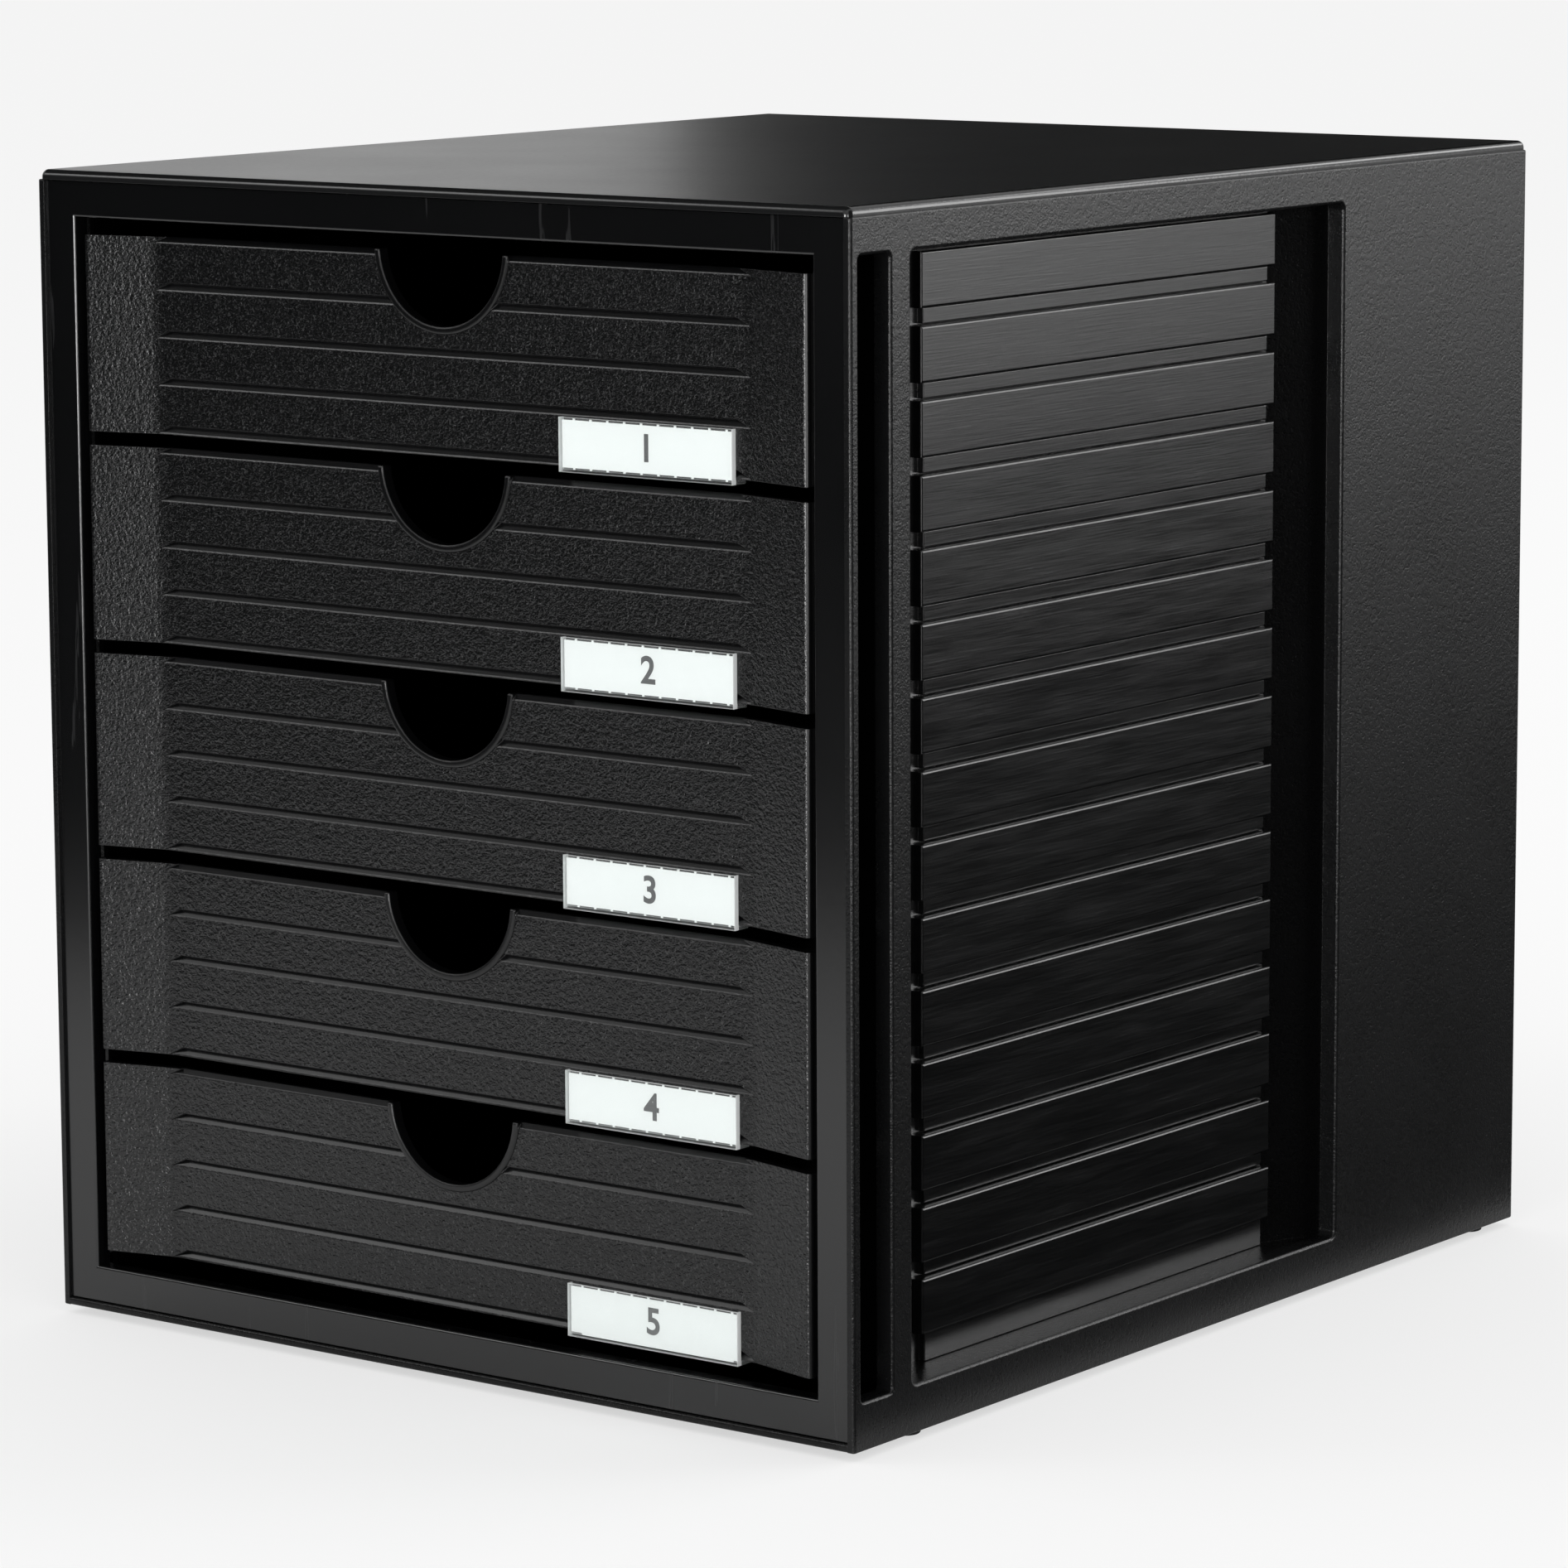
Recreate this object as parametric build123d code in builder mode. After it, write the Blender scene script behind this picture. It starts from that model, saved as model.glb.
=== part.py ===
from build123d import *
import os

# Desktop drawer unit: a casing of moulded panels with five drawers that slide on its side rails.
# Millimetres. X runs to the right, Y to the back and Z up. The origin is on the table, under the
# middle of the casing, and the drawers open towards -Y.

os.makedirs("parts", exist_ok=True)

# Casing
casing_width = 275.0
casing_depth = 330.0
casing_height = 317.5
skin = 2.2
top_thickness = 2.7
bottom_thickness = 2.2
back_thickness = 2.4
side_proud = 0.6
seam = 0.3
top_round = 2.0
front_edge_round = 0.9
back_edge_round = 1.8
side_edge_round = 0.4

# Feet
foot_height = 2.5
foot_radius = 4.2
foot_from_side = 8.0
foot_from_front = 33.0
foot_from_back = 13.0
foot_round = 0.6

# Front frame
frame_setback = 0.9
frame_face_thickness = 1.7
frame_lip_depth = 5.0
frame_lip_wall = 1.8
frame_side_bar = 12.5
frame_bottom_bar = 12.4
frame_top_bar = 12.6
frame_round = 0.8

# Slot and long recess in each side, measured back from the front edge and up from the casing's base
slot_front = 3.3
slot_width = 13.6
slot_corner = 1.3
recess_front = 25.6
recess_length = 204.9
recess_corner = 2.0
recess_bottom = 12.8
recess_top = 12.4
reveal_depth = 5.2
reveal_wall = 1.5
reveal_round = 0.9
slot_front_wall = 0.5
grip_length = 18.5

# Rail panel behind the recess; depths are measured inwards from the side's outer face
rail_depth = 13.6
rail_thickness = 1.4
slats_per_drawer = 3
slat_start_rise = 8.5
slat_depth = 9.2
slat_front_gap = 17.2
slat_back_gap = 2.2
slat_wall = 1.5
slat_round = 0.6
strip_height = 4.6
strip_depth = 11.8
strip_setback = 4.4
strip_gap = 0.25
strip_round = 0.3

# Runner ledges and stops inside the rail panel
ledge_reach = 3.3
ledge_thickness = 2.5
running_gap = 0.3
stop_from_front = 10.0
stop_length = 3.0
stop_reach = 1.0
stop_height = 4.0

# Drawers
drawer_count = 5
drawer_travel = 240.0
front_bottom_gap = 4.8
front_between_gap = 3.8
front_top_gap = 4.75
front_side_gap = 2.3
front_end_setback = 1.3
front_middle_setback = 6.7
front_flank_width = 22.2
front_flank_round = 15.0
front_thickness = 3.0
front_end_round = 1.4

# Louvres across the middle of each drawer front
louvre_count = 5
louvre_start = 0.5
louvre_top_rise = 1.35
louvre_lip_height = 0.35
louvre_lip_depth = 0.15
louvre_depth = 1.4
louvre_apex_rise = 1.6
louvre_mouth = 2.0
louvre_overrun = 1.0
louvre_taper = 5.0

# Thumb notch
notch_radius = 20.9
notch_centre_rise = 1.3
notch_rim_width = 1.8
notch_rim_proud = 0.45
notch_rim_round = 0.3

# Tray behind the front
tray_wall = 1.6
tray_floor_rise = 1.0
tray_top_drop = 5.5
tray_side_gap = 0.5
tray_back_gap = 0.5
tray_corner = 4.0
runner_thickness = 2.0
runner_from_front = 14.0
stop_block_length = 8.0

# Label card and its clear cover, low on the right of each front
label_from_flank = 4.2
label_width = 56.3
label_top = 12.9
label_drop = 1.4
label_proud = 1.8
label_face_wall = 0.9
label_end_wall = 0.5
label_foot_gap = 0.1
label_hook = 1.0
label_hook_rise = 0.8
card_thickness = 0.3
card_drop = 0.7
card_margin = 0.1
card_top_gap = 0.3
label_round = 0.3

# How near to a plane a face has to lie to be picked out by its place
nearness = 0.01

# Places that follow from the sizes
half_width = casing_width / 2
front_y = -casing_depth / 2
back_y = casing_depth / 2
base_z = foot_height
top_z = foot_height + casing_height
side_top_z = top_z - top_thickness
side_height = side_top_z - base_z
floor_z = base_z + bottom_thickness
inner_height = side_top_z - floor_z
inner_width = casing_width - 2 * skin
rail_inner_depth = rail_depth + rail_thickness
frame_back_y = front_y + frame_setback + frame_lip_depth
back_panel_y = back_y - back_thickness
rail_length = back_panel_y - frame_back_y
rail_middle_y = (back_panel_y + frame_back_y) / 2
recess_height = casing_height - recess_bottom - recess_top
opening_bottom = base_z + frame_bottom_bar
opening_top = top_z - frame_top_bar
opening_width = casing_width - 2 * frame_side_bar
opening_height = opening_top - opening_bottom
opening_middle = (opening_top + opening_bottom) / 2
fronts_height = opening_height - front_bottom_gap - front_top_gap + front_between_gap
drawer_pitch = fronts_height / drawer_count
front_height = drawer_pitch - front_between_gap
slat_pitch = drawer_pitch / slats_per_drawer
slat_count = drawer_count * slats_per_drawer


def front_plane(depth):
    """Plane parallel to the front, this far behind the casing's front edges, facing forwards."""
    return Plane.XZ.offset(-(front_y + depth))


def side_plane(depth):
    """Plane parallel to the right side, this far inside its outer face, facing outwards."""
    return Plane.YZ.offset(half_width - depth)


# Cover plate: lies on the side panels, a little narrower than they are, with a rounded upper edge
with BuildPart() as top_panel:
    with BuildSketch(Plane.XY.offset(side_top_z)):
        RectangleRounded(casing_width - 2 * side_proud, casing_depth, top_round)
    extrude(amount=top_thickness)
    fillet(top_panel.faces().sort_by(Axis.Z)[-1].edges(), radius=top_round)
top_panel.part.label = "top_panel"
export_step(top_panel.part, "parts/top_panel.step")

# Floor of the casing, held between the side panels
with BuildPart() as bottom_panel:
    with BuildSketch(Plane.XY.offset(base_z)):
        Rectangle(inner_width, casing_depth)
    extrude(amount=bottom_thickness)
    fillet(bottom_panel.edges().filter_by(Axis.X).group_by(Axis.Y)[0], radius=frame_round)
bottom_panel.part.label = "bottom_panel"
export_step(bottom_panel.part, "parts/bottom_panel.step")

# Rear wall, held between the side panels and standing on the floor
with BuildPart() as back_panel:
    with BuildSketch(Plane.XY.offset(floor_z)):
        with Locations((0, back_y - back_thickness / 2)):
            Rectangle(inner_width, back_thickness)
    extrude(amount=inner_height)
back_panel.part.label = "back_panel"
export_step(back_panel.part, "parts/back_panel.step")

# Front frame: a face plate behind the casing's edges, with a deeper lip round its opening
frame_bottom = floor_z + seam
frame_top = side_top_z - seam
with BuildPart() as front_frame:
    with BuildSketch(front_plane(frame_setback)):
        with Locations((0, (frame_top + frame_bottom) / 2)):
            Rectangle(inner_width, frame_top - frame_bottom)
    extrude(amount=-frame_face_thickness)
    with BuildSketch(front_plane(frame_setback)):
        with Locations((0, opening_middle)):
            Rectangle(opening_width + 2 * frame_lip_wall, opening_height + 2 * frame_lip_wall)
    extrude(amount=-frame_lip_depth)
    with BuildSketch(front_plane(frame_setback)):
        with Locations((0, opening_middle)):
            Rectangle(opening_width, opening_height)
    extrude(amount=-frame_lip_depth, mode=Mode.SUBTRACT)
    frame_face = front_frame.faces().sort_by(Axis.Y)[0]
    fillet(frame_face.inner_wires()[0].edges(), radius=frame_round)
front_frame.part.label = "front_frame"
export_step(front_frame.part, "parts/front_frame.step")

# Side panel: outer skin whose slot and recess have deep returns, shelves above and below the
# slats and a slanted wall at the back of the recess for the fingers
slot_middle = (front_y + slot_front + slot_width / 2, base_z + recess_bottom + recess_height / 2)
recess_middle = (front_y + recess_front + recess_length / 2, slot_middle[1])
slot_return_front = front_y + slot_front - slot_front_wall
slot_return_back = front_y + slot_front + slot_width + reveal_wall
return_height = recess_height + 2 * reveal_wall
shelf_heights = (-(recess_height + reveal_wall) / 2, (recess_height + reveal_wall) / 2)
grip_top_x = half_width - reveal_depth
grip_foot_x = half_width - rail_depth
grip_top_y = front_y + recess_front + recess_length
grip_foot_y = grip_top_y - grip_length
grip_slope = (grip_top_x - grip_foot_x) / grip_length
grip_wall_x = reveal_wall * (1 + grip_slope**2) ** 0.5
with BuildPart() as right_side_panel:
    with BuildSketch(side_plane(0)):
        with Locations((0, base_z + side_height / 2)):
            Rectangle(casing_depth, side_height)
    extrude(amount=-skin)
    upright_edges = right_side_panel.edges().filter_by(Axis.Z).group_by(Axis.X)[-1]
    fillet(upright_edges.sort_by(Axis.Y)[0], radius=front_edge_round)
    upright_edges = right_side_panel.edges().filter_by(Axis.Z).group_by(Axis.X)[-1]
    fillet(upright_edges.sort_by(Axis.Y)[-1], radius=back_edge_round)
    long_edges = right_side_panel.edges().filter_by(Axis.Y).group_by(Axis.X)[-1]
    fillet(long_edges, radius=side_edge_round)
    with BuildSketch(side_plane(skin)):
        with Locations(((slot_return_front + slot_return_back) / 2, slot_middle[1])):
            Rectangle(slot_return_back - slot_return_front, return_height)
        with Locations(recess_middle):
            Rectangle(recess_length + 2 * reveal_wall, return_height)
    extrude(amount=skin - reveal_depth)
    with BuildSketch(side_plane(0)):
        with Locations(slot_middle):
            RectangleRounded(slot_width, recess_height, slot_corner)
        with Locations(recess_middle):
            RectangleRounded(recess_length, recess_height, recess_corner)
    extrude(amount=-reveal_depth, mode=Mode.SUBTRACT)
    outer_face = right_side_panel.faces().sort_by(Axis.X)[-1]
    fillet(outer_face.inner_wires().edges(), radius=reveal_round)
    with BuildSketch(side_plane(skin)):
        with Locations(*[(recess_middle[0], recess_middle[1] + height) for height in shelf_heights]):
            Rectangle(recess_length, reveal_wall)
    extrude(amount=skin - rail_depth)
    with BuildSketch(Plane.XY.offset(slot_middle[1] - return_height / 2)):
        with BuildLine():
            Polyline(
                (grip_top_x, grip_top_y),
                (grip_foot_x, grip_foot_y),
                (grip_foot_x, grip_foot_y + grip_wall_x / grip_slope),
                (grip_top_x - grip_wall_x + reveal_wall * grip_slope, grip_top_y + reveal_wall),
                (grip_top_x, grip_top_y + reveal_wall),
                close=True,
            )
        make_face()
    extrude(amount=return_height)
right_side_panel.part.label = "right_side_panel"
export_step(right_side_panel.part, "parts/right_side_panel.step")

with BuildPart() as left_side_panel:
    mirror(right_side_panel.part, about=Plane.YZ)
left_side_panel.part.label = "left_side_panel"
export_step(left_side_panel.part, "parts/left_side_panel.step")

# Rail panel: a plate with hollow slats and narrow strips on its outer face, seen through the
# recess, and with the ledges that carry the drawers on its inner face
slat_front_y = front_y + recess_front + slat_front_gap
slat_back_y = grip_foot_y - slat_back_gap
slat_length = slat_back_y - slat_front_y
slat_middle_y = (slat_back_y + slat_front_y) / 2
slat_height = slat_pitch - strip_height
slat_start_z = base_z + recess_bottom + slat_start_rise
slat_heights = [slat_start_z + slat_pitch * row for row in range(slat_count)]
strip_length = slat_length - strip_setback
strip_middle_y = slat_middle_y + strip_setback / 2
ledge_tops = [
    slat_heights[slats_per_drawer * drawer + row]
    for drawer in range(drawer_count)
    for row in range(1, slats_per_drawer)
]
carrying_tops = ledge_tops[:: slats_per_drawer - 1]
stop_y = front_y + stop_from_front
with BuildPart() as right_rail_panel:
    with BuildSketch(side_plane(rail_depth)):
        with Locations((rail_middle_y, floor_z + inner_height / 2)):
            Rectangle(rail_length, inner_height)
    extrude(amount=-rail_thickness)
    with BuildSketch(side_plane(rail_depth)):
        with Locations(*[(slat_middle_y, height + slat_height / 2) for height in slat_heights]):
            Rectangle(slat_length, slat_height)
    extrude(amount=rail_depth - slat_depth)
    slat_faces = right_rail_panel.faces().group_by(Axis.X)[-1]
    fillet(slat_faces.edges(), radius=slat_round)
    with BuildSketch(side_plane(rail_depth)):
        for height in slat_heights:
            strip_bottom = height - strip_height + strip_gap
            if height == slat_start_z:
                strip_bottom = base_z + recess_bottom
            strip_top = height - strip_gap
            with Locations((strip_middle_y, (strip_bottom + strip_top) / 2)):
                Rectangle(strip_length, strip_top - strip_bottom)
    extrude(amount=rail_depth - strip_depth)
    strip_x = half_width - strip_depth
    strip_faces = right_rail_panel.faces().filter_by_position(Axis.X, strip_x - nearness, strip_x + nearness)
    fillet(strip_faces.edges(), radius=strip_round)
    with BuildSketch(side_plane(rail_inner_depth)):
        with Locations(*[(slat_middle_y, height + slat_height / 2) for height in slat_heights]):
            Rectangle(slat_length - 2 * slat_wall, slat_height - 2 * slat_wall)
    extrude(amount=rail_inner_depth - slat_depth - slat_wall, mode=Mode.SUBTRACT)
    with BuildSketch(side_plane(rail_inner_depth)):
        with Locations(*[(rail_middle_y, top - ledge_thickness / 2) for top in ledge_tops]):
            Rectangle(rail_length, ledge_thickness)
    extrude(amount=-ledge_reach)
    with BuildSketch(side_plane(rail_inner_depth)):
        with Locations(*[(stop_y + stop_length / 2, top + stop_height / 2) for top in carrying_tops]):
            Rectangle(stop_length, stop_height)
    extrude(amount=-stop_reach)
right_rail_panel.part.label = "right_rail_panel"
export_step(right_rail_panel.part, "parts/right_rail_panel.step")

with BuildPart() as left_rail_panel:
    mirror(right_rail_panel.part, about=Plane.YZ)
left_rail_panel.part.label = "left_rail_panel"
export_step(left_rail_panel.part, "parts/left_rail_panel.step")

# Feet: small round pads under the floor and sides, one near each corner
foot_x = half_width - foot_from_side
foot_places = {
    "foot_front_left": (-foot_x, front_y + foot_from_front),
    "foot_front_right": (foot_x, front_y + foot_from_front),
    "foot_back_left": (-foot_x, back_y - foot_from_back),
    "foot_back_right": (foot_x, back_y - foot_from_back),
}
for foot_name, foot_place in foot_places.items():
    with BuildPart() as foot:
        with BuildSketch():
            with Locations(foot_place):
                Circle(foot_radius)
        extrude(amount=foot_height)
        fillet(foot.edges().group_by(Axis.Z)[0], radius=foot_round)
    foot.part.label = foot_name
    export_step(foot.part, f"parts/{foot_name}.step")

# Drawer: the concave front and the tray are one moulding; this is the lowest one
front_half = opening_width / 2 - front_side_gap
end_y = front_y + front_end_setback
face_y = front_y + front_middle_setback
flank_x = front_half - front_flank_width
flank_slope = (face_y - end_y) / front_flank_width
bottom_z = opening_bottom + front_bottom_gap
front_top_z = bottom_z + front_height
notch_z = front_top_z + notch_centre_rise
rim_y = face_y - notch_rim_proud
louvre_half = flank_x + louvre_overrun
louvre_pitch = (front_height - louvre_start - louvre_top_rise) / (louvre_count - 1)
louvre_rises = [louvre_start + louvre_pitch * row for row in range(louvre_count)]
tray_half = half_width - rail_inner_depth - ledge_reach - tray_side_gap
tray_back_y = back_panel_y - tray_back_gap
tray_floor_z = bottom_z + tray_floor_rise
tray_height = front_height - tray_floor_rise - tray_top_drop
runner_half = half_width - rail_inner_depth - stop_reach - running_gap
runner_y = front_y + runner_from_front
lower_runner_z = carrying_tops[0] + running_gap
upper_runner_z = ledge_tops[1] - ledge_thickness - running_gap - runner_thickness
stop_block_half = half_width - rail_inner_depth - running_gap
stop_block_y = stop_y + stop_length + drawer_travel + running_gap


def flank_y(x):
    """Where the front's outer face runs at this distance from the middle, on its flank."""
    return end_y + (front_half - x) * flank_slope


def louvre(lower_edge, apex_rise):
    """Solid that cuts one louvre: a steep lip, then a slope that rises from it, with pointed ends."""
    lower_z = bottom_z + lower_edge
    lip_z = lower_z - louvre_lip_height
    with BuildPart() as cutter:
        with BuildSketch(Plane.YZ):
            with BuildLine():
                Polyline(
                    (end_y, lip_z),
                    (face_y, lip_z),
                    (face_y + louvre_lip_depth, lower_z),
                    (face_y + louvre_depth, lower_z + apex_rise),
                    (face_y, lower_z + louvre_mouth),
                    (end_y, lower_z + louvre_mouth),
                    close=True,
                )
            make_face()
        extrude(amount=louvre_half, both=True)
        with BuildSketch(front_plane(0)):
            with BuildLine():
                Polyline(
                    (-louvre_half, lip_z),
                    (louvre_half, lip_z),
                    (louvre_half - louvre_taper, lower_z + louvre_mouth),
                    (-louvre_half + louvre_taper, lower_z + louvre_mouth),
                    close=True,
                )
            make_face()
        extrude(amount=-casing_depth, mode=Mode.INTERSECT)
    return cutter.part


with BuildPart() as drawer_shape:
    with BuildSketch(Plane.XY.offset(bottom_z)) as front_plan:
        with BuildLine():
            Polyline(
                (-front_half, end_y),
                (-flank_x, face_y),
                (flank_x, face_y),
                (front_half, end_y),
                (front_half, end_y + front_thickness),
                (flank_x, face_y + front_thickness),
                (-flank_x, face_y + front_thickness),
                (-front_half, end_y + front_thickness),
                close=True,
            )
        make_face()
        fillet(front_plan.vertices().group_by(Axis.Y)[2], radius=front_flank_round)
        fillet(front_plan.vertices().group_by(Axis.Y)[0], radius=front_end_round)
    extrude(amount=front_height)
    for rise in louvre_rises[:-1]:
        add(louvre(rise, louvre_apex_rise), mode=Mode.SUBTRACT)
    add(louvre(louvre_rises[-1], louvre_top_rise), mode=Mode.SUBTRACT)
    with BuildSketch(front_plane(front_middle_setback - notch_rim_proud)):
        with Locations((0, notch_z)):
            Circle(notch_radius + notch_rim_width)
        with Locations((0, front_top_z)):
            Rectangle(casing_width, 2 * front_height, mode=Mode.INTERSECT, align=(Align.CENTER, Align.MAX))
    extrude(amount=-(notch_rim_proud + front_thickness))
    with BuildSketch(Plane.XY.offset(tray_floor_z)):
        with BuildLine():
            Polyline(
                (-tray_half, flank_y(tray_half) + front_thickness / 2),
                (-flank_x, face_y + front_thickness / 2),
                (flank_x, face_y + front_thickness / 2),
                (tray_half, flank_y(tray_half) + front_thickness / 2),
                (tray_half, tray_back_y),
                (-tray_half, tray_back_y),
                close=True,
            )
        make_face()
    extrude(amount=tray_height)
    with BuildSketch(Plane.XY.offset(tray_floor_z + tray_wall)) as tray_inside:
        with BuildLine():
            Polyline(
                (-tray_half + tray_wall, flank_y(tray_half - tray_wall) + front_thickness),
                (-flank_x, face_y + front_thickness),
                (flank_x, face_y + front_thickness),
                (tray_half - tray_wall, flank_y(tray_half - tray_wall) + front_thickness),
                (tray_half - tray_wall, tray_back_y - tray_wall),
                (-tray_half + tray_wall, tray_back_y - tray_wall),
                close=True,
            )
        make_face()
        fillet(tray_inside.vertices().group_by(Axis.Y)[-1], radius=tray_corner)
    extrude(amount=tray_height, mode=Mode.SUBTRACT)
    with BuildSketch(front_plane(front_end_setback)):
        with Locations((0, notch_z)):
            Circle(notch_radius)
    extrude(amount=-casing_depth / 2, mode=Mode.SUBTRACT)
    rim_faces = drawer_shape.faces().filter_by_position(Axis.Y, rim_y - nearness, rim_y + nearness)
    fillet(rim_faces.edges().filter_by(GeomType.CIRCLE), radius=notch_rim_round)
    for runner_z in (lower_runner_z, upper_runner_z):
        with BuildSketch(Plane.XY.offset(runner_z)):
            for side in (-1, 1):
                with Locations((side * (tray_half + runner_half) / 2, (runner_y + tray_back_y) / 2)):
                    Rectangle(runner_half - tray_half, tray_back_y - runner_y)
        extrude(amount=runner_thickness)
    with BuildSketch(Plane.XY.offset(lower_runner_z)):
        for side in (-1, 1):
            block_x = side * (tray_half + stop_block_half) / 2
            with Locations((block_x, stop_block_y + stop_block_length / 2)):
                Rectangle(stop_block_half - tray_half, stop_block_length)
    extrude(amount=stop_height - running_gap)

# Clear label cover: a face with end walls, hooked under the front's lower edge
label_x = flank_x - label_from_flank - label_width / 2
cover_y = face_y - label_proud
cover_bottom_z = bottom_z - label_drop
cover_height = label_drop + label_top
card_bottom_z = bottom_z - card_drop
hook_y = face_y + front_thickness + label_foot_gap
with BuildPart() as cover_shape:
    with BuildSketch(Plane.XY.offset(cover_bottom_z)):
        with Locations((label_x, (cover_y + face_y) / 2)):
            Rectangle(label_width, label_proud)
    extrude(amount=cover_height)
    fillet(cover_shape.faces().sort_by(Axis.Y)[0].edges(), radius=label_round)
    with BuildSketch(Plane.XY.offset(cover_bottom_z)):
        with Locations((label_x, (face_y + hook_y + label_hook) / 2)):
            Rectangle(label_width, hook_y + label_hook - face_y)
    extrude(amount=label_drop - label_foot_gap)
    with BuildSketch(Plane.XY.offset(card_bottom_z)):
        with Locations((label_x, (cover_y + label_face_wall + face_y) / 2)):
            Rectangle(label_width - 2 * label_end_wall, label_proud - label_face_wall)
    extrude(amount=cover_height, mode=Mode.SUBTRACT)
    with BuildSketch(Plane.XY.offset(cover_bottom_z)):
        with Locations((label_x, hook_y + label_hook / 2)):
            Rectangle(label_width, label_hook)
    extrude(amount=label_drop + label_hook_rise)

# Label card: lies in the cover's shallow pocket
card_width = label_width - 2 * label_end_wall - 2 * card_margin
with BuildPart() as card_shape:
    with BuildSketch(Plane.XY.offset(card_bottom_z)):
        with Locations((label_x, cover_y + label_face_wall + card_thickness / 2)):
            Rectangle(card_width, card_thickness)
    extrude(amount=label_top - card_top_gap + card_drop)

# The five drawers, counted from the bottom, each with its own card and cover
for number in range(1, drawer_count + 1):
    rise = (0, 0, drawer_pitch * (number - 1))
    with BuildPart() as drawer:
        with Locations(rise):
            add(drawer_shape.part)
    drawer.part.label = f"drawer_{number}"
    export_step(drawer.part, f"parts/drawer_{number}.step")
    with BuildPart() as label_cover:
        with Locations(rise):
            add(cover_shape.part)
    label_cover.part.label = f"label_cover_{number}"
    export_step(label_cover.part, f"parts/label_cover_{number}.step")
    with BuildPart() as label_card:
        with Locations(rise):
            add(card_shape.part)
    label_card.part.label = f"label_card_{number}"
    export_step(label_card.part, f"parts/label_card_{number}.step")
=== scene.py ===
import math

import bpy
from mathutils import Matrix, Vector


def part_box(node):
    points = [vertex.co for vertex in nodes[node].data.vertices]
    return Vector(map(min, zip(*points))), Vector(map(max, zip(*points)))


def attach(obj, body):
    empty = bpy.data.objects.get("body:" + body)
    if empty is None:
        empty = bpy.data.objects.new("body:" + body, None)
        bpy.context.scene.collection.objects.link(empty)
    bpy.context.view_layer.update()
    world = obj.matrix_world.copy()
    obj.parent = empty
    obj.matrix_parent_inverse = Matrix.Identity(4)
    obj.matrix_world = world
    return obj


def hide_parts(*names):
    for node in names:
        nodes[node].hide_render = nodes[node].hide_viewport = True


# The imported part: every panel, drawer, cover and foot comes from it at its own place, in metres,
# with X to the right, Y to the back and Z up from the table.
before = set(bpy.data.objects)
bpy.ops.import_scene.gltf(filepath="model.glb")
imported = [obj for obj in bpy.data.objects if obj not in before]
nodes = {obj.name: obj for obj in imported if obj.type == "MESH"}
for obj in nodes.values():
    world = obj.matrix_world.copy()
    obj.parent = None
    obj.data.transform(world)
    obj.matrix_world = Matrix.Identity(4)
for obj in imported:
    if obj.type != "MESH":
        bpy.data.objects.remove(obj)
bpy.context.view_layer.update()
bpy.ops.object.select_all(action="DESELECT")

# Casing panels: the two sides, the floor and the rear wall, moulded in black plastic with a fine
# sanded texture from the mould. The sides carry the slot, the long recess and its grip wall.
# Every face nearer the middle than the sides' outer faces is painted a deeper black, as painted
# shade for the slot, the recess and the grip wall; most of the floor and rear wall get it too.
side_black = (0.0036, 0.0037, 0.0039, 1)
side_cloud_black = (0.0046, 0.0047, 0.0049, 1)
side_grain_size = 0.00055
side_coarse_grain_size = 2.2 * side_grain_size
side_grain_depth = 0.000160
side_roughness = 0.28
side_cloud_roughness = 0.06
side_grain_roughness = 0.10
side_gloss = 0.30
edge_softness = 0.00025
cloud_size = 0.045
# Painted shade: a deeper black for the faces nearer the middle than the sides' outer faces.
recess_painted_shade = (0.0010, 0.0010, 0.0011, 1)
painted_shade_end = 0.1318
unshaded_start = 0.1330
# Painted shade: the flat black laid over the rail panels behind the narrow slot.
painted_slot_shade_black = (0.0004, 0.0004, 0.0004, 1)


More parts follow.
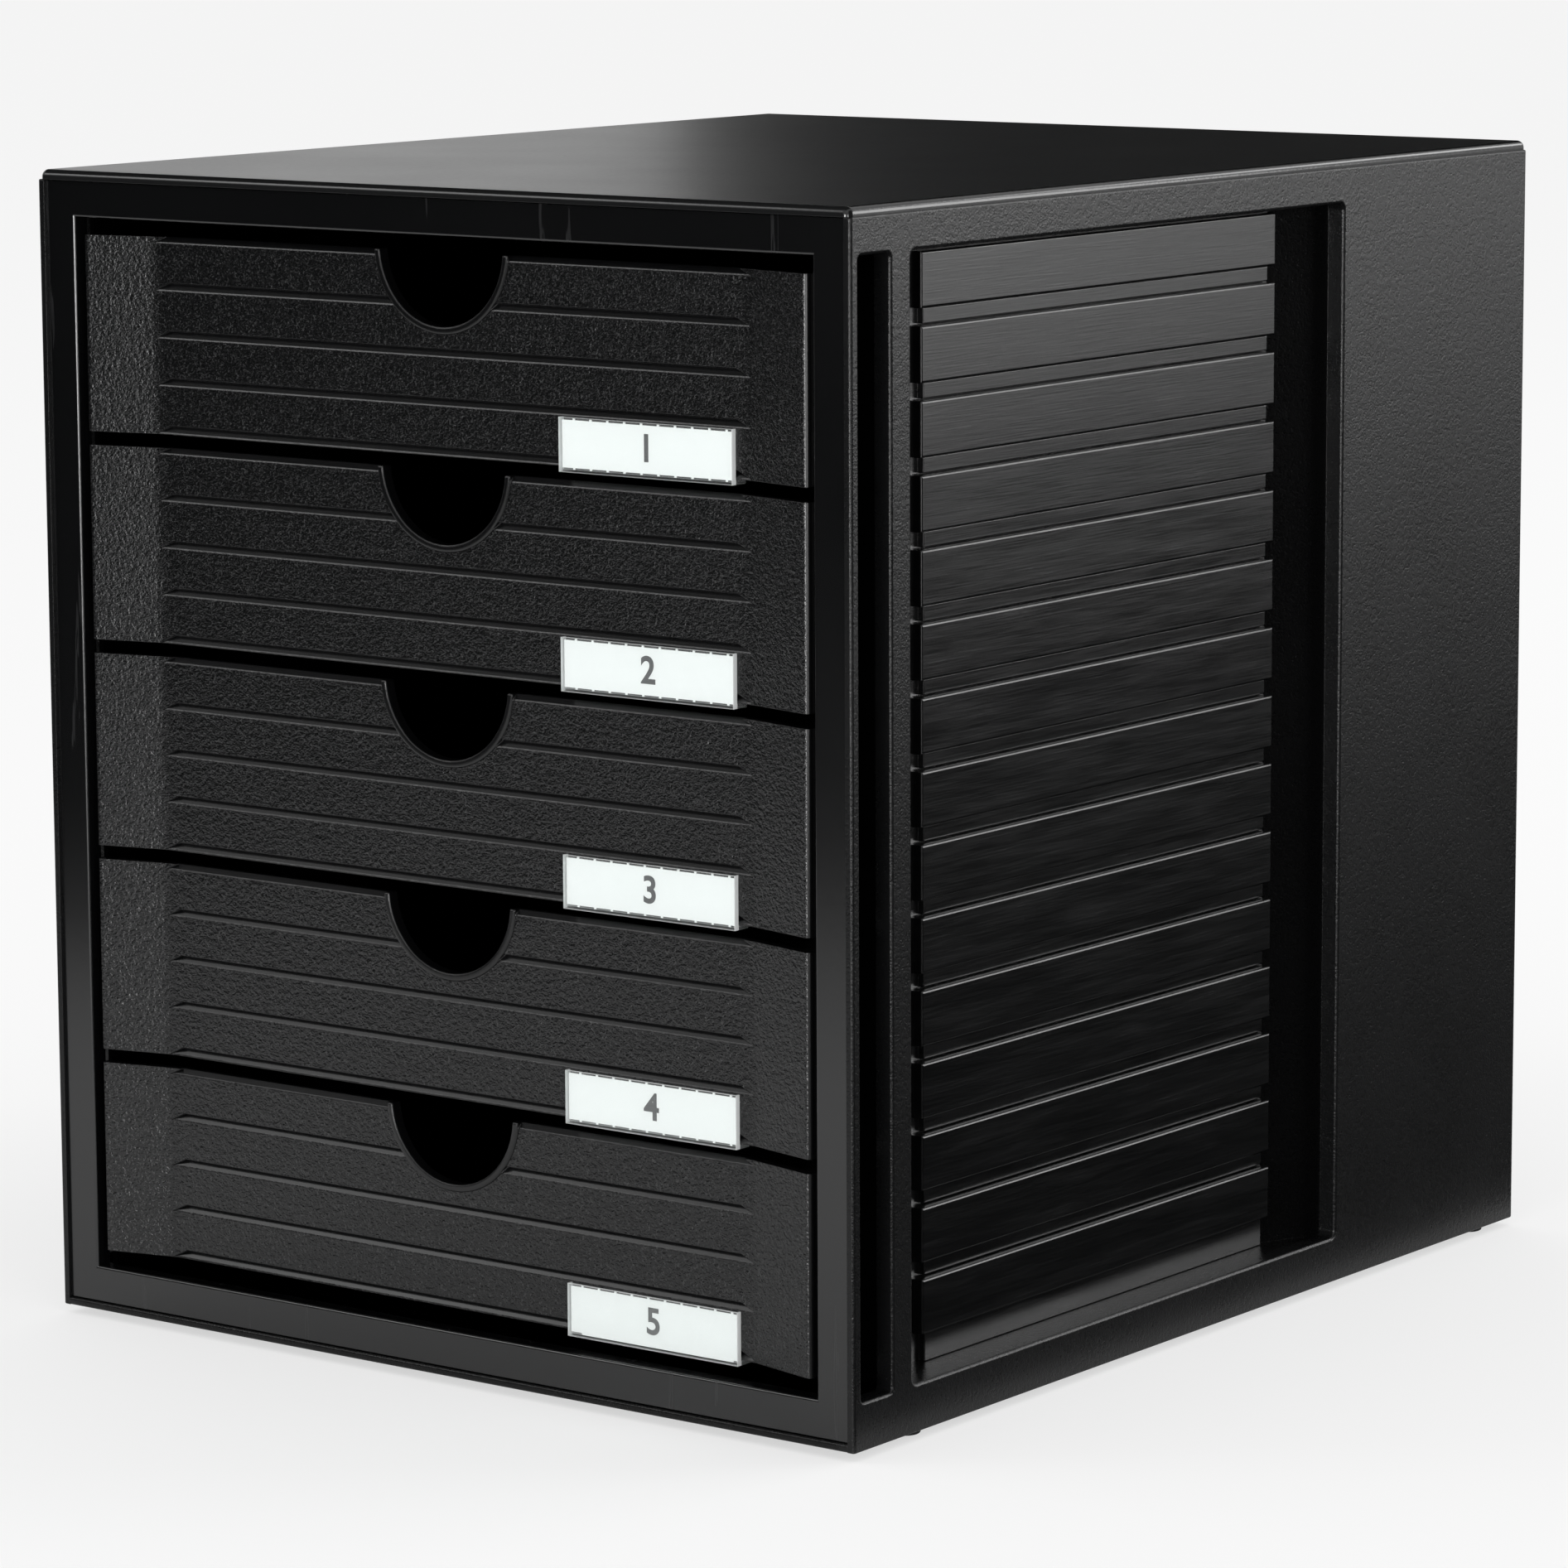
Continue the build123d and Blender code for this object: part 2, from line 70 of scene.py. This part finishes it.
class Shade:
    """One socket of a finish, which takes part in sums as a number does."""

    def __init__(self, tree, socket=None):
        self.tree = tree
        self.socket = socket

    def node(self, kind, settings, inputs, output=0):
        """Adds a node: its settings are set first, then the values or links of its sockets."""
        made = self.tree.nodes.new(kind)
        for name, value in settings.items():
            setattr(made, name, value)
        for name, value in inputs.items():
            if isinstance(value, Shade):
                self.tree.links.new(value.socket, made.inputs[name])
            else:
                made.inputs[name].default_value = value
        return Shade(self.tree, made.outputs[output] if made.outputs else None)

    def math(self, operation, first, second):
        return self.node("ShaderNodeMath", {"operation": operation}, {0: first, 1: second})

    def __add__(self, other):
        return self.math("ADD", self, other)

    def __radd__(self, other):
        return self.math("ADD", other, self)

    def __sub__(self, other):
        return self.math("SUBTRACT", self, other)

    def __rsub__(self, other):
        return self.math("SUBTRACT", other, self)

    def __mul__(self, other):
        return self.math("MULTIPLY", self, other)

    def __rmul__(self, other):
        return self.math("MULTIPLY", other, self)

    def wrapped(self, pitch):
        """Runs from 0 to the pitch, over and over."""
        return self.math("FLOORED_MODULO", self, pitch)

    def between(self, low, high):
        """Runs from 0 at low to 1 at high, smoothly."""
        inputs = {"Value": self, "From Min": low, "From Max": high}
        return self.node("ShaderNodeMapRange", {"interpolation_type": "SMOOTHSTEP"}, inputs)

    def along(self, axis):
        """How far this place or direction reaches along X, Y or Z."""
        return self.node("ShaderNodeSeparateXYZ", {}, {"Vector": self}, axis)

    def stretched(self, scale):
        """This place, stretched by these factors along X, Y and Z."""
        return self.node("ShaderNodeMapping", {}, {"Vector": self, "Scale": scale})

    def noise(self, size, detail, distortion=0.0):
        """Cloudy variation from 0 to 1 over this place, in patches of about this size in metres."""
        inputs = {"Vector": self, "Scale": 1 / size, "Detail": detail, "Distortion": distortion}
        return self.node("ShaderNodeTexNoise", {}, inputs)

    def mixed(self, first, second):
        """The first colour where this share is 0 and the second where it is 1."""
        inputs = {"Factor": self, 6: first, 7: second}
        return self.node("ShaderNodeMix", {"data_type": "RGBA"}, inputs, 2)

    def rounded(self, radius, samples=4):
        """The directions of faces whose edges are softened to this radius in metres."""
        return self.node("ShaderNodeBevel", {"samples": samples}, {"Radius": radius})

    def covered(self, share, other):
        """This shader where the share is 0 and the other one where it is 1."""
        return self.node("ShaderNodeMixShader", {}, {0: share, 1: self, 2: other})

    def show(self):
        """Makes this shader the surface of its material."""
        self.node("ShaderNodeOutputMaterial", {}, {"Surface": self})


def new_finish(name):
    """An empty material, the start of its sums and the place on the piece."""
    material = bpy.data.materials.new(name)
    material.use_nodes = True
    material.node_tree.nodes.clear()
    start = Shade(material.node_tree)
    return material, start, start.node("ShaderNodeTexCoord", {}, {}, "Object")


def plastic(start, colour, roughness, gloss, grain, grain_depth, edges, painted_shade_share=None):
    """Moulded plastic whose grain runs from 0 to 1 and is this deep in metres."""
    bumps = {"Strength": 1.0, "Distance": grain_depth, "Height": grain, "Normal": edges}
    finish = {
        "Base Color": colour,
        "Roughness": roughness,
        "Specular IOR Level": gloss,
        "Normal": start.node("ShaderNodeBump", {}, bumps),
    }
    surface = start.node("ShaderNodeBsdfPrincipled", {}, finish)
    # Where a share is given, a flat black diffuse covers the plastic there as painted shade.
    if painted_shade_share is not None:
        painted_shade_bsdf = start.node("ShaderNodeBsdfDiffuse", {}, {"Color": painted_slot_shade_black})
        surface = surface.covered(painted_shade_share, painted_shade_bsdf)
    surface.show()


def dress(names, material):
    """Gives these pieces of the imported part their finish."""
    for name in names:
        nodes[name].data.materials.clear()
        nodes[name].data.materials.append(material)


sanded_black, start, place = new_finish("sanded_black")
fine_grain = place.noise(side_grain_size, 3.0)
coarse_grain = place.noise(side_coarse_grain_size, 2.0)
grain = 0.5 * fine_grain + 0.5 * coarse_grain
clouds = place.noise(cloud_size, 3.0)
roughness = side_roughness + side_cloud_roughness * (clouds - 0.5)
roughness = roughness + side_grain_roughness * (grain - 0.5)
colour = clouds.mixed(side_black, side_cloud_black)
# Painted shade: the deeper black covers the slot, the recess, the grip wall and most of the floor
# and rear wall.
across = place.along("X")
beyond_painted_shade = (across * across).between(painted_shade_end**2, unshaded_start**2)
colour = beyond_painted_shade.mixed(recess_painted_shade, colour)
edges = start.rounded(edge_softness)
plastic(start, colour, roughness, side_gloss, grain, side_grain_depth, edges)
dress(["left_side_panel", "right_side_panel", "bottom_panel", "back_panel"], sanded_black)

# Cover plate: lies on the sides, in the same black but smoother, so that it mirrors the room
# softly, with faint mottling and hair-fine rub marks from things put down on it. Its rounded
# edge is more polished than its level face.
top_black = (0.0075, 0.0077, 0.0079, 1)
top_roughness = 0.32
top_edge_roughness = 0.13
top_roughness_range = 0.05
top_level = (0.93, 0.99)
top_gloss = 0.38
top_mottle_size = 0.0016
top_mottle_depth = 0.000022
rub_size = 0.0011
rub_stretch = (1, 0.06, 1)
rub_range = (0.70, 0.80)

satin_top, start, place = new_finish("satin_top")
mottle = place.noise(top_mottle_size, 4.0)
clouds = place.noise(cloud_size, 4.0)
rubs = place.stretched(rub_stretch).noise(rub_size, 2.0).between(*rub_range)
roughness = top_roughness + top_roughness_range * (clouds - 0.5)
roughness = roughness + top_roughness_range * (mottle - 0.5) + top_roughness_range * rubs
level = start.node("ShaderNodeNewGeometry", {}, {}, "Normal").along("Z").between(*top_level)
roughness = top_edge_roughness + (roughness - top_edge_roughness) * level
edges = start.rounded(edge_softness)
plastic(start, top_black, roughness, top_gloss, mottle, top_mottle_depth, edges)
dress(["top_panel"], satin_top)

# Front frame: the flat ring round the drawers, smooth and satin, held a little behind the edges
# of the casing. It has faint mottling and a few fine upright scratches, a little paler and rougher.
frame_black = (0.0022, 0.0023, 0.0025, 1)
frame_roughness = 0.20
frame_cloud_roughness = 0.06
frame_gloss = 0.76
frame_mottle_size = 0.0022
frame_mottle_depth = 0.000006
scratch_grey = (0.016, 0.016, 0.017, 1)
scratch_share = 0.35
scratch_roughness = 0.12
scratch_size = 0.0060
scratch_stretch = (1, 1, 0.05)
scratch_waver = 0.4
scratch_start = (0.655, 0.67)
scratch_end = (0.68, 0.70)

satin_frame, start, place = new_finish("satin_frame")
mottle = place.noise(frame_mottle_size, 4.0)
clouds = place.noise(cloud_size, 3.0)
streaks = place.stretched(scratch_stretch).noise(scratch_size, 4.0, scratch_waver)
scratches = streaks.between(*scratch_start) - streaks.between(*scratch_end)
roughness = frame_roughness + frame_cloud_roughness * (clouds - 0.5)
roughness = roughness + scratch_roughness * scratches
colour = (scratch_share * scratches).mixed(frame_black, scratch_grey)
edges = start.rounded(edge_softness)
plastic(start, colour, roughness, frame_gloss, mottle, frame_mottle_depth, edges)
dress(["front_frame"], satin_frame)

# Rail panels: the inner walls seen through the recesses. Their slats have a long horizontal
# brushed sheen, left by the mould. Behind the narrow slot a flat black is mixed over them as
# painted shade, so that part gives back hardly any light.
rail_black = (0.0022, 0.0023, 0.0024, 1)
rail_sheen_black = (0.0036, 0.0037, 0.0039, 1)
rail_sheen = (0.45, 0.75)
rail_roughness = 0.22
rail_brush_roughness = 0.30
rail_gloss = 0.50
brush_size = 0.00045
brush_stretch = (1, 0.025, 1)
brush_share = 0.6
brush_depth = 0.000022
broad_brush_size = 0.0035
broad_brush_stretch = (1, 0.08, 1)
slot_end = -0.1235
slot_fade = 0.0010

brushed_black, start, place = new_finish("brushed_black")
long_streaks = place.stretched(brush_stretch).noise(brush_size, 3.0)
broad_streaks = place.stretched(broad_brush_stretch).noise(broad_brush_size, 3.0)
brushed = brush_share * long_streaks + (1 - brush_share) * broad_streaks
roughness = rail_roughness + rail_brush_roughness * (brushed - 0.5)
colour = broad_streaks.between(*rail_sheen).mixed(rail_black, rail_sheen_black)
# Painted shade: behind the narrow slot the plastic is covered by the flat black.
painted_slot_shade_mask = 1 - place.along("Y").between(slot_end - slot_fade, slot_end)
edges = start.rounded(edge_softness)
plastic(start, colour, roughness, rail_gloss, brushed, brush_depth, edges, painted_slot_shade_mask)
dress(["left_rail_panel", "right_rail_panel"], brushed_black)

# Feet: four small round pads of black rubber pressed in under the casing, matt and finely
# grained. Only their edges show, between the casing and the floor.
foot_black = (0.0120, 0.0120, 0.0125, 1)
foot_roughness = 0.70
foot_grain_roughness = 0.1
foot_gloss = 0.30
foot_grain_size = 0.0006
foot_grain_depth = 0.00002

foot_rubber, start, place = new_finish("foot_rubber")
grain = place.noise(foot_grain_size, 2.0)
roughness = foot_roughness + foot_grain_roughness * (grain - 0.5)
edges = start.rounded(edge_softness)
plastic(start, foot_black, roughness, foot_gloss, grain, foot_grain_depth, edges)
dress(["foot_front_left", "foot_front_right", "foot_back_left", "foot_back_right"], foot_rubber)

# Drawers: tray and front in one black moulding. The front's upright faces are coarsely sanded,
# with paler flecks, while the slopes of its louvres, its notch rim and the tray behind it are
# smooth. The notch rim is rounded more broadly than the other edges.
drawer_black = (0.0022, 0.0023, 0.0025, 1)
drawer_grain_size = 0.00048
drawer_coarse_grain_size = 2.3 * drawer_grain_size
drawer_fine_share = 0.3
drawer_grain_depth = 0.00042
drawer_roughness = 0.22
drawer_grain_roughness = 0.12
drawer_smooth_roughness = 0.26
drawer_gloss = 0.52
fleck_grey = (0.0210, 0.0213, 0.0216, 1)
fleck_size = 1.3 * drawer_grain_size
fleck_range = (0.57, 0.70)
upright = (0.90, 0.95)
front_depth = (0.0072, 0.0076)
rim_softness = 0.0010
rim_samples = 8
rim_end = 0.0227
rim_fade = 0.0002
rim_top_fade = 0.0005
notch_rise = 0.0013
drawer_names = sorted(name for name in nodes if name.startswith("drawer_"))
front_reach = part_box("drawer_1")[0].y
notch_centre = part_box("drawer_1")[1].z + notch_rise
notch_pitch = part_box("drawer_2")[1].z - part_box("drawer_1")[1].z

sanded_drawer, start, place = new_finish("sanded_drawer")
fine_grain = place.noise(drawer_grain_size, 2.0)
coarse_grain = place.noise(drawer_coarse_grain_size, 3.0)
grain = drawer_fine_share * fine_grain + (1 - drawer_fine_share) * coarse_grain
flecks = place.noise(fleck_size, 1.0).between(*fleck_range)
facing_forward = -1 * start.node("ShaderNodeNewGeometry", {}, {}, "True Normal").along("Y")
front_end = [front_reach + depth for depth in front_depth]
on_front = 1 - place.along("Y").between(*front_end)
aside = place.along("X")
lowest = notch_centre - notch_pitch / 2
rise = (place.along("Z") - lowest).wrapped(notch_pitch) - notch_pitch / 2
rim = 1 - (aside * aside + rise * rise).between(rim_end**2, (rim_end + rim_fade) ** 2)
rim = rim * (1 - rise.between(-rim_top_fade, rim_top_fade)) * on_front
sanded = facing_forward.between(*upright) * on_front * (1 - rim)
roughness = drawer_smooth_roughness + (drawer_roughness - drawer_smooth_roughness) * sanded
roughness = roughness + drawer_grain_roughness * (grain - 0.5) * sanded
colour = (flecks * sanded).mixed(drawer_black, fleck_grey)
fine_edges = start.rounded(edge_softness)
broad_edges = start.rounded(rim_softness, rim_samples)
blend = {"Factor": rim, 4: fine_edges, 5: broad_edges}
edges = start.node("ShaderNodeMix", {"data_type": "VECTOR"}, blend, 1)
plastic(start, colour, roughness, drawer_gloss, grain * sanded, drawer_grain_depth, edges)
dress(drawer_names, sanded_drawer)

# Label covers: clear polystyrene clips over the lower edge of each front, polished, so that before
# the card only a weak mirror of the room shows. Their narrow edges are painted an opaque
# near-white, a painted glow that stands in for the card's light carried through the clear plastic.
cover_names = sorted(name for name in nodes if name.startswith("label_cover_"))
cover_tint = (0.975, 0.982, 0.980, 1)
# Painted glow: the near-white given to the covers' narrow edges.
painted_glow_white = (0.92, 0.94, 0.935, 1)
cover_roughness = 0.06
cover_gloss = 0.5
cover_index = 1.49
film_share = 0.5
painted_glow_share = 0.75
edge_turn = (0.12, 0.56)
cover_reach = 0.0018
cover_foot_fade = 0.0002
cover_foot_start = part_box(cover_names[0])[0].y + cover_reach

clear_cover, start, place = new_finish("clear_cover")
film = start.node("ShaderNodeFresnel", {}, {"IOR": cover_index})
forward = start.node("ShaderNodeNewGeometry", {}, {}, "True Normal").along("Y")
foot = place.along("Y").between(cover_foot_start, cover_foot_start + cover_foot_fade)
# Painted light: the covers' narrow side faces turn opaque near-white, a painted glow of the card's
# light.
edges = (1 - (forward * forward).between(*edge_turn)) * (1 - foot)
clear = start.node("ShaderNodeBsdfTransparent", {}, {"Color": cover_tint})
polish_and_painted_glow = {
    "Base Color": painted_glow_white,
    "Roughness": cover_roughness,
    "Specular IOR Level": cover_gloss,
}
mirror_and_painted_glow = start.node("ShaderNodeBsdfPrincipled", {}, polish_and_painted_glow)
clear.covered(film_share * film + painted_glow_share * edges, mirror_and_painted_glow).show()
dress(cover_names, clear_cover)

# Label cards: white card torn from a perforated sheet, so short nibs are left along their long
# edges. Each lies in its cover's pocket and carries a plain number.
card_gap = 0.00006
card_white = (0.80, 0.82, 0.815, 1)
card_fibre_white = (0.76, 0.78, 0.775, 1)
card_roughness = 0.75
card_gloss = 0.25
card_edge_softness = 0.00005
fibre_size = 0.0004
fibre_stretch = (0.5, 1, 1)
fibre_depth = 0.000008
nib_count = 10
nib_height = 0.00045
nib_width = 0.00070
nib_offset = 0.7
nib_area_slack = 1.2
number_height = 0.0100
ink_grey = (0.022, 0.022, 0.024, 1)
ink_pale_grey = (0.035, 0.035, 0.038, 1)
ink_roughness = 0.6
ink_gloss = 0.3
ink_edge_softness = 0.00002
ink_patch_size = 0.0003
ink_patch_depth = 0.000004
ink_thickness = 0.00002
ink_spread = 0.00022

paper, start, place = new_finish("white_card")
fibres = place.stretched(fibre_stretch).noise(fibre_size, 3.0)
colour = fibres.mixed(card_white, card_fibre_white)
edges = start.rounded(card_edge_softness)
plastic(start, colour, card_roughness, card_gloss, fibres, fibre_depth, edges)

ink, start, place = new_finish("number_ink")
patches = place.noise(ink_patch_size, 2.0)
colour = patches.mixed(ink_grey, ink_pale_grey)
edges = start.rounded(ink_edge_softness)
plastic(start, colour, ink_roughness, ink_gloss, patches, ink_patch_depth, edges)

for name in sorted(name for name in nodes if name.startswith("label_card_")):
    drawer_number = int(name.rsplit("_", 1)[1])
    low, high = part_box(name)
    width = high.x - low.x
    card_front = low.y + card_gap
    thickness = high.y - card_front
    bpy.ops.object.select_all(action="DESELECT")
    middle = ((low.x + high.x) / 2, (card_front + high.y) / 2, (low.z + high.z) / 2)
    size = (width, thickness, high.z - low.z - 2 * nib_height)
    bpy.ops.mesh.primitive_cube_add(size=1, location=middle, scale=size)
    card = bpy.context.object
    card.name = f"number_card_{drawer_number}"
    bpy.ops.object.transform_apply(location=True, rotation=True, scale=True)
    bpy.ops.object.mode_set(mode="EDIT")
    for nib in range(nib_count):
        nib_middle = low.x + width * (nib + nib_offset) / nib_count
        for cut in (nib_middle - nib_width / 2, nib_middle + nib_width / 2):
            bpy.ops.mesh.select_all(action="SELECT")
            bpy.ops.mesh.bisect(plane_co=(cut, 0, 0), plane_no=(1, 0, 0))
    for direction in (-1, 1):
        bpy.ops.mesh.select_all(action="DESELECT")
        bpy.ops.object.mode_set(mode="OBJECT")
        for face in card.data.polygons:
            narrow = face.area < thickness * nib_width * nib_area_slack
            face.select = face.normal.z * direction > 0.5 and narrow
        bpy.ops.object.mode_set(mode="EDIT")
        bpy.ops.mesh.select_mode(type="FACE")
        move = {"value": (0, 0, direction * nib_height)}
        bpy.ops.mesh.extrude_region_move(TRANSFORM_OT_translate=move)
    bpy.ops.object.mode_set(mode="OBJECT")
    card.data.materials.append(paper)
    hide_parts(name)
    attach(card, f"sliding_drawer_{drawer_number}")

    bpy.ops.object.select_all(action="DESELECT")
    printed_at = (middle[0], card_front, middle[2])
    bpy.ops.object.text_add(location=printed_at, rotation=(math.pi / 2, 0, 0))
    number = bpy.context.object
    number.data.body = str(len(drawer_names) + 1 - drawer_number)
    number.data.size = number_height
    number.data.extrude = ink_thickness
    number.data.offset = ink_spread
    number.data.align_x = "CENTER"
    number.data.align_y = "CENTER"
    bpy.ops.object.convert(target="MESH")
    number.name = f"card_number_{drawer_number}"
    bpy.ops.object.transform_apply(location=True, rotation=True, scale=True)
    number.data.materials.append(ink)
    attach(number, f"sliding_drawer_{drawer_number}")

# Floor: a plain pale studio floor that runs out to the horizon, with a white room behind it. Only
# the camera sees the floor's glow. The room is at full strength for it and for mirrored rays, and
# dimmer where it lights the object.
floor_half = 40.0
floor_pale = (0.93, 0.93, 0.93, 1)
pure_white = (1, 1, 1, 1)
backdrop_share = 0.6
room_light = 0.82

bpy.ops.object.select_all(action="DESELECT")
bpy.ops.mesh.primitive_plane_add(size=2 * floor_half)
floor = bpy.context.object
floor.name = "studio_floor"
pale_floor, start, _ = new_finish("pale_floor")
lit = start.node("ShaderNodeBsdfDiffuse", {}, {"Color": floor_pale})
glow = start.node("ShaderNodeEmission", {}, {"Color": pure_white, "Strength": 1.0})
seen = start.node("ShaderNodeLightPath", {}, {}, "Is Camera Ray")
lit.covered(backdrop_share * seen, glow).show()
floor.data.materials.append(pale_floor)

room = bpy.data.worlds.new("studio_room")
bpy.context.scene.world = room
room.use_nodes = True
room.node_tree.nodes.clear()
start = Shade(room.node_tree)
seen = start.node("ShaderNodeLightPath", {}, {}, "Is Camera Ray")
for ray in ("Is Glossy Ray", "Is Transmission Ray"):
    seen = seen + start.node("ShaderNodeLightPath", {}, {}, ray)
strength = room_light + (1 - room_light) * seen.between(0, 1)
backdrop = start.node("ShaderNodeBackground", {}, {"Color": pure_white, "Strength": strength})
start.node("ShaderNodeOutputWorld", {}, {"Surface": backdrop})

# Studio light: large soft boxes, out of the camera's sight, and dark cards that only the gloss of
# the plastic mirrors, as a photographer sets round a black object to keep its faces deep.
card_matt_black = (0.004, 0.004, 0.004, 1)
card_lift = 0.001


def soft_box(name, place, target, width, height, power):
    """A soft rectangular lamp at this place, turned to the target."""
    bpy.ops.object.light_add(type="AREA", location=place)
    lamp = bpy.context.object
    lamp.name = name
    lamp.data.shape = "RECTANGLE"
    lamp.data.size = width
    lamp.data.size_y = height
    lamp.data.energy = power
    direction = Vector(target) - Vector(place)
    lamp.rotation_euler = direction.to_track_quat("-Z", "Y").to_euler()
    lamp.visible_camera = False


def dark_card(name, corners):
    """A dark card with these four corners, which only reflections show."""
    bpy.ops.mesh.primitive_plane_add(size=2)
    card = bpy.context.object
    card.name = name
    for vertex, corner in zip(card.data.vertices, corners):
        vertex.co = corner
    card.data.materials.append(card_black)
    card.visible_camera = False
    card.visible_diffuse = False
    card.visible_transmission = False
    card.visible_shadow = False


def lying_card(name, height, corners):
    """A level dark card at this height, above these four places on the floor."""
    dark_card(name, [(x, y, height) for x, y in corners])


def standing_card(name, left, right, bottom, top):
    """An upright dark card between these two places on the floor and these two heights."""
    dark_card(name, [(x, y, z) for z in (bottom, top) for x, y in (left, right)])


card_black, start, _ = new_finish("card_black")
start.node("ShaderNodeBsdfDiffuse", {}, {"Color": card_matt_black}).show()
bpy.ops.object.select_all(action="DESELECT")
soft_box("key_box", (1.7, -1.9, 2.3), (0, 0, 0.1), width=1.8, height=1.8, power=3)
soft_box("right_box", (1.9, -1.6, 0.16), (0, -0.16, 0.16), width=0.9, height=0.28, power=6)
soft_box("lip_box", (-1.10, -1.10, 1.15), (0, -0.16, 0.16), width=0.5, height=0.4, power=2)
soft_box("grain_box", (0.45, -2.00, 0.17), (0, -0.16, 0.17), width=0.5, height=0.28, power=14)
soft_box("back_box", (2.7, 2.65, 0.9), (0.1, 0, 0.3), width=1.5, height=1.4, power=44)
soft_box("slat_box", (1.15, 2.80, 1.55), (0.13, 0, 0.2), width=0.9, height=0.5, power=8)
front_corners = ((-0.24, -0.80), (-1.00, -0.10), (-0.45, -3.20), (-3.50, -0.60))
lying_card("front_floor", card_lift, front_corners)
standing_card("front_wall", left=(-0.45, -3.20), right=(-3.50, -0.60), bottom=0, top=1.1)
lying_card("ceiling", 1.6, ((-1.80, -1.00), (0.60, -1.00), (-1.80, 1.00), (0.60, 1.00)))
side_corners = ((0.15, -0.90), (1.20, -0.90), (0.15, 3.00), (1.75, 2.90))
lying_card("side_floor", card_lift, side_corners)
standing_card("right_wall", left=(1.05, -0.60), right=(1.05, 0.60), bottom=0, top=1.2)
standing_card("top_shade", left=(-3.20, 0.90), right=(-1.70, 2.13), bottom=1.3, top=2.5)
standing_card("top_card", left=(-1.70, 2.13), right=(0.04, 3.48), bottom=0, top=2.5)

# Camera: at the photograph's viewing angle, to the right of the front and a little above the top.
# Its angles are in degrees, and its lens and sensor in millimetres.
camera_place = (1.0625, -1.425, 0.4275)
camera_bearing = 36.91
camera_dip = 9.15
camera_roll = -0.28
camera_lens = 145.1
camera_sensor = 36
camera_reach = 200

bpy.ops.object.camera_add()
camera = bpy.context.object
camera.name = "photo_camera"
turn = Matrix.Rotation(math.radians(camera_bearing), 4, "Z")
tilt = Matrix.Rotation(math.radians(90 - camera_dip), 4, "X")
roll = Matrix.Rotation(math.radians(camera_roll), 4, "Z")
camera.matrix_world = Matrix.Translation(camera_place) @ turn @ tilt @ roll
camera.data.lens = camera_lens
camera.data.sensor_width = camera_sensor
camera.data.clip_end = camera_reach
bpy.context.scene.camera = camera
bpy.context.scene.view_settings.view_transform = "Standard"
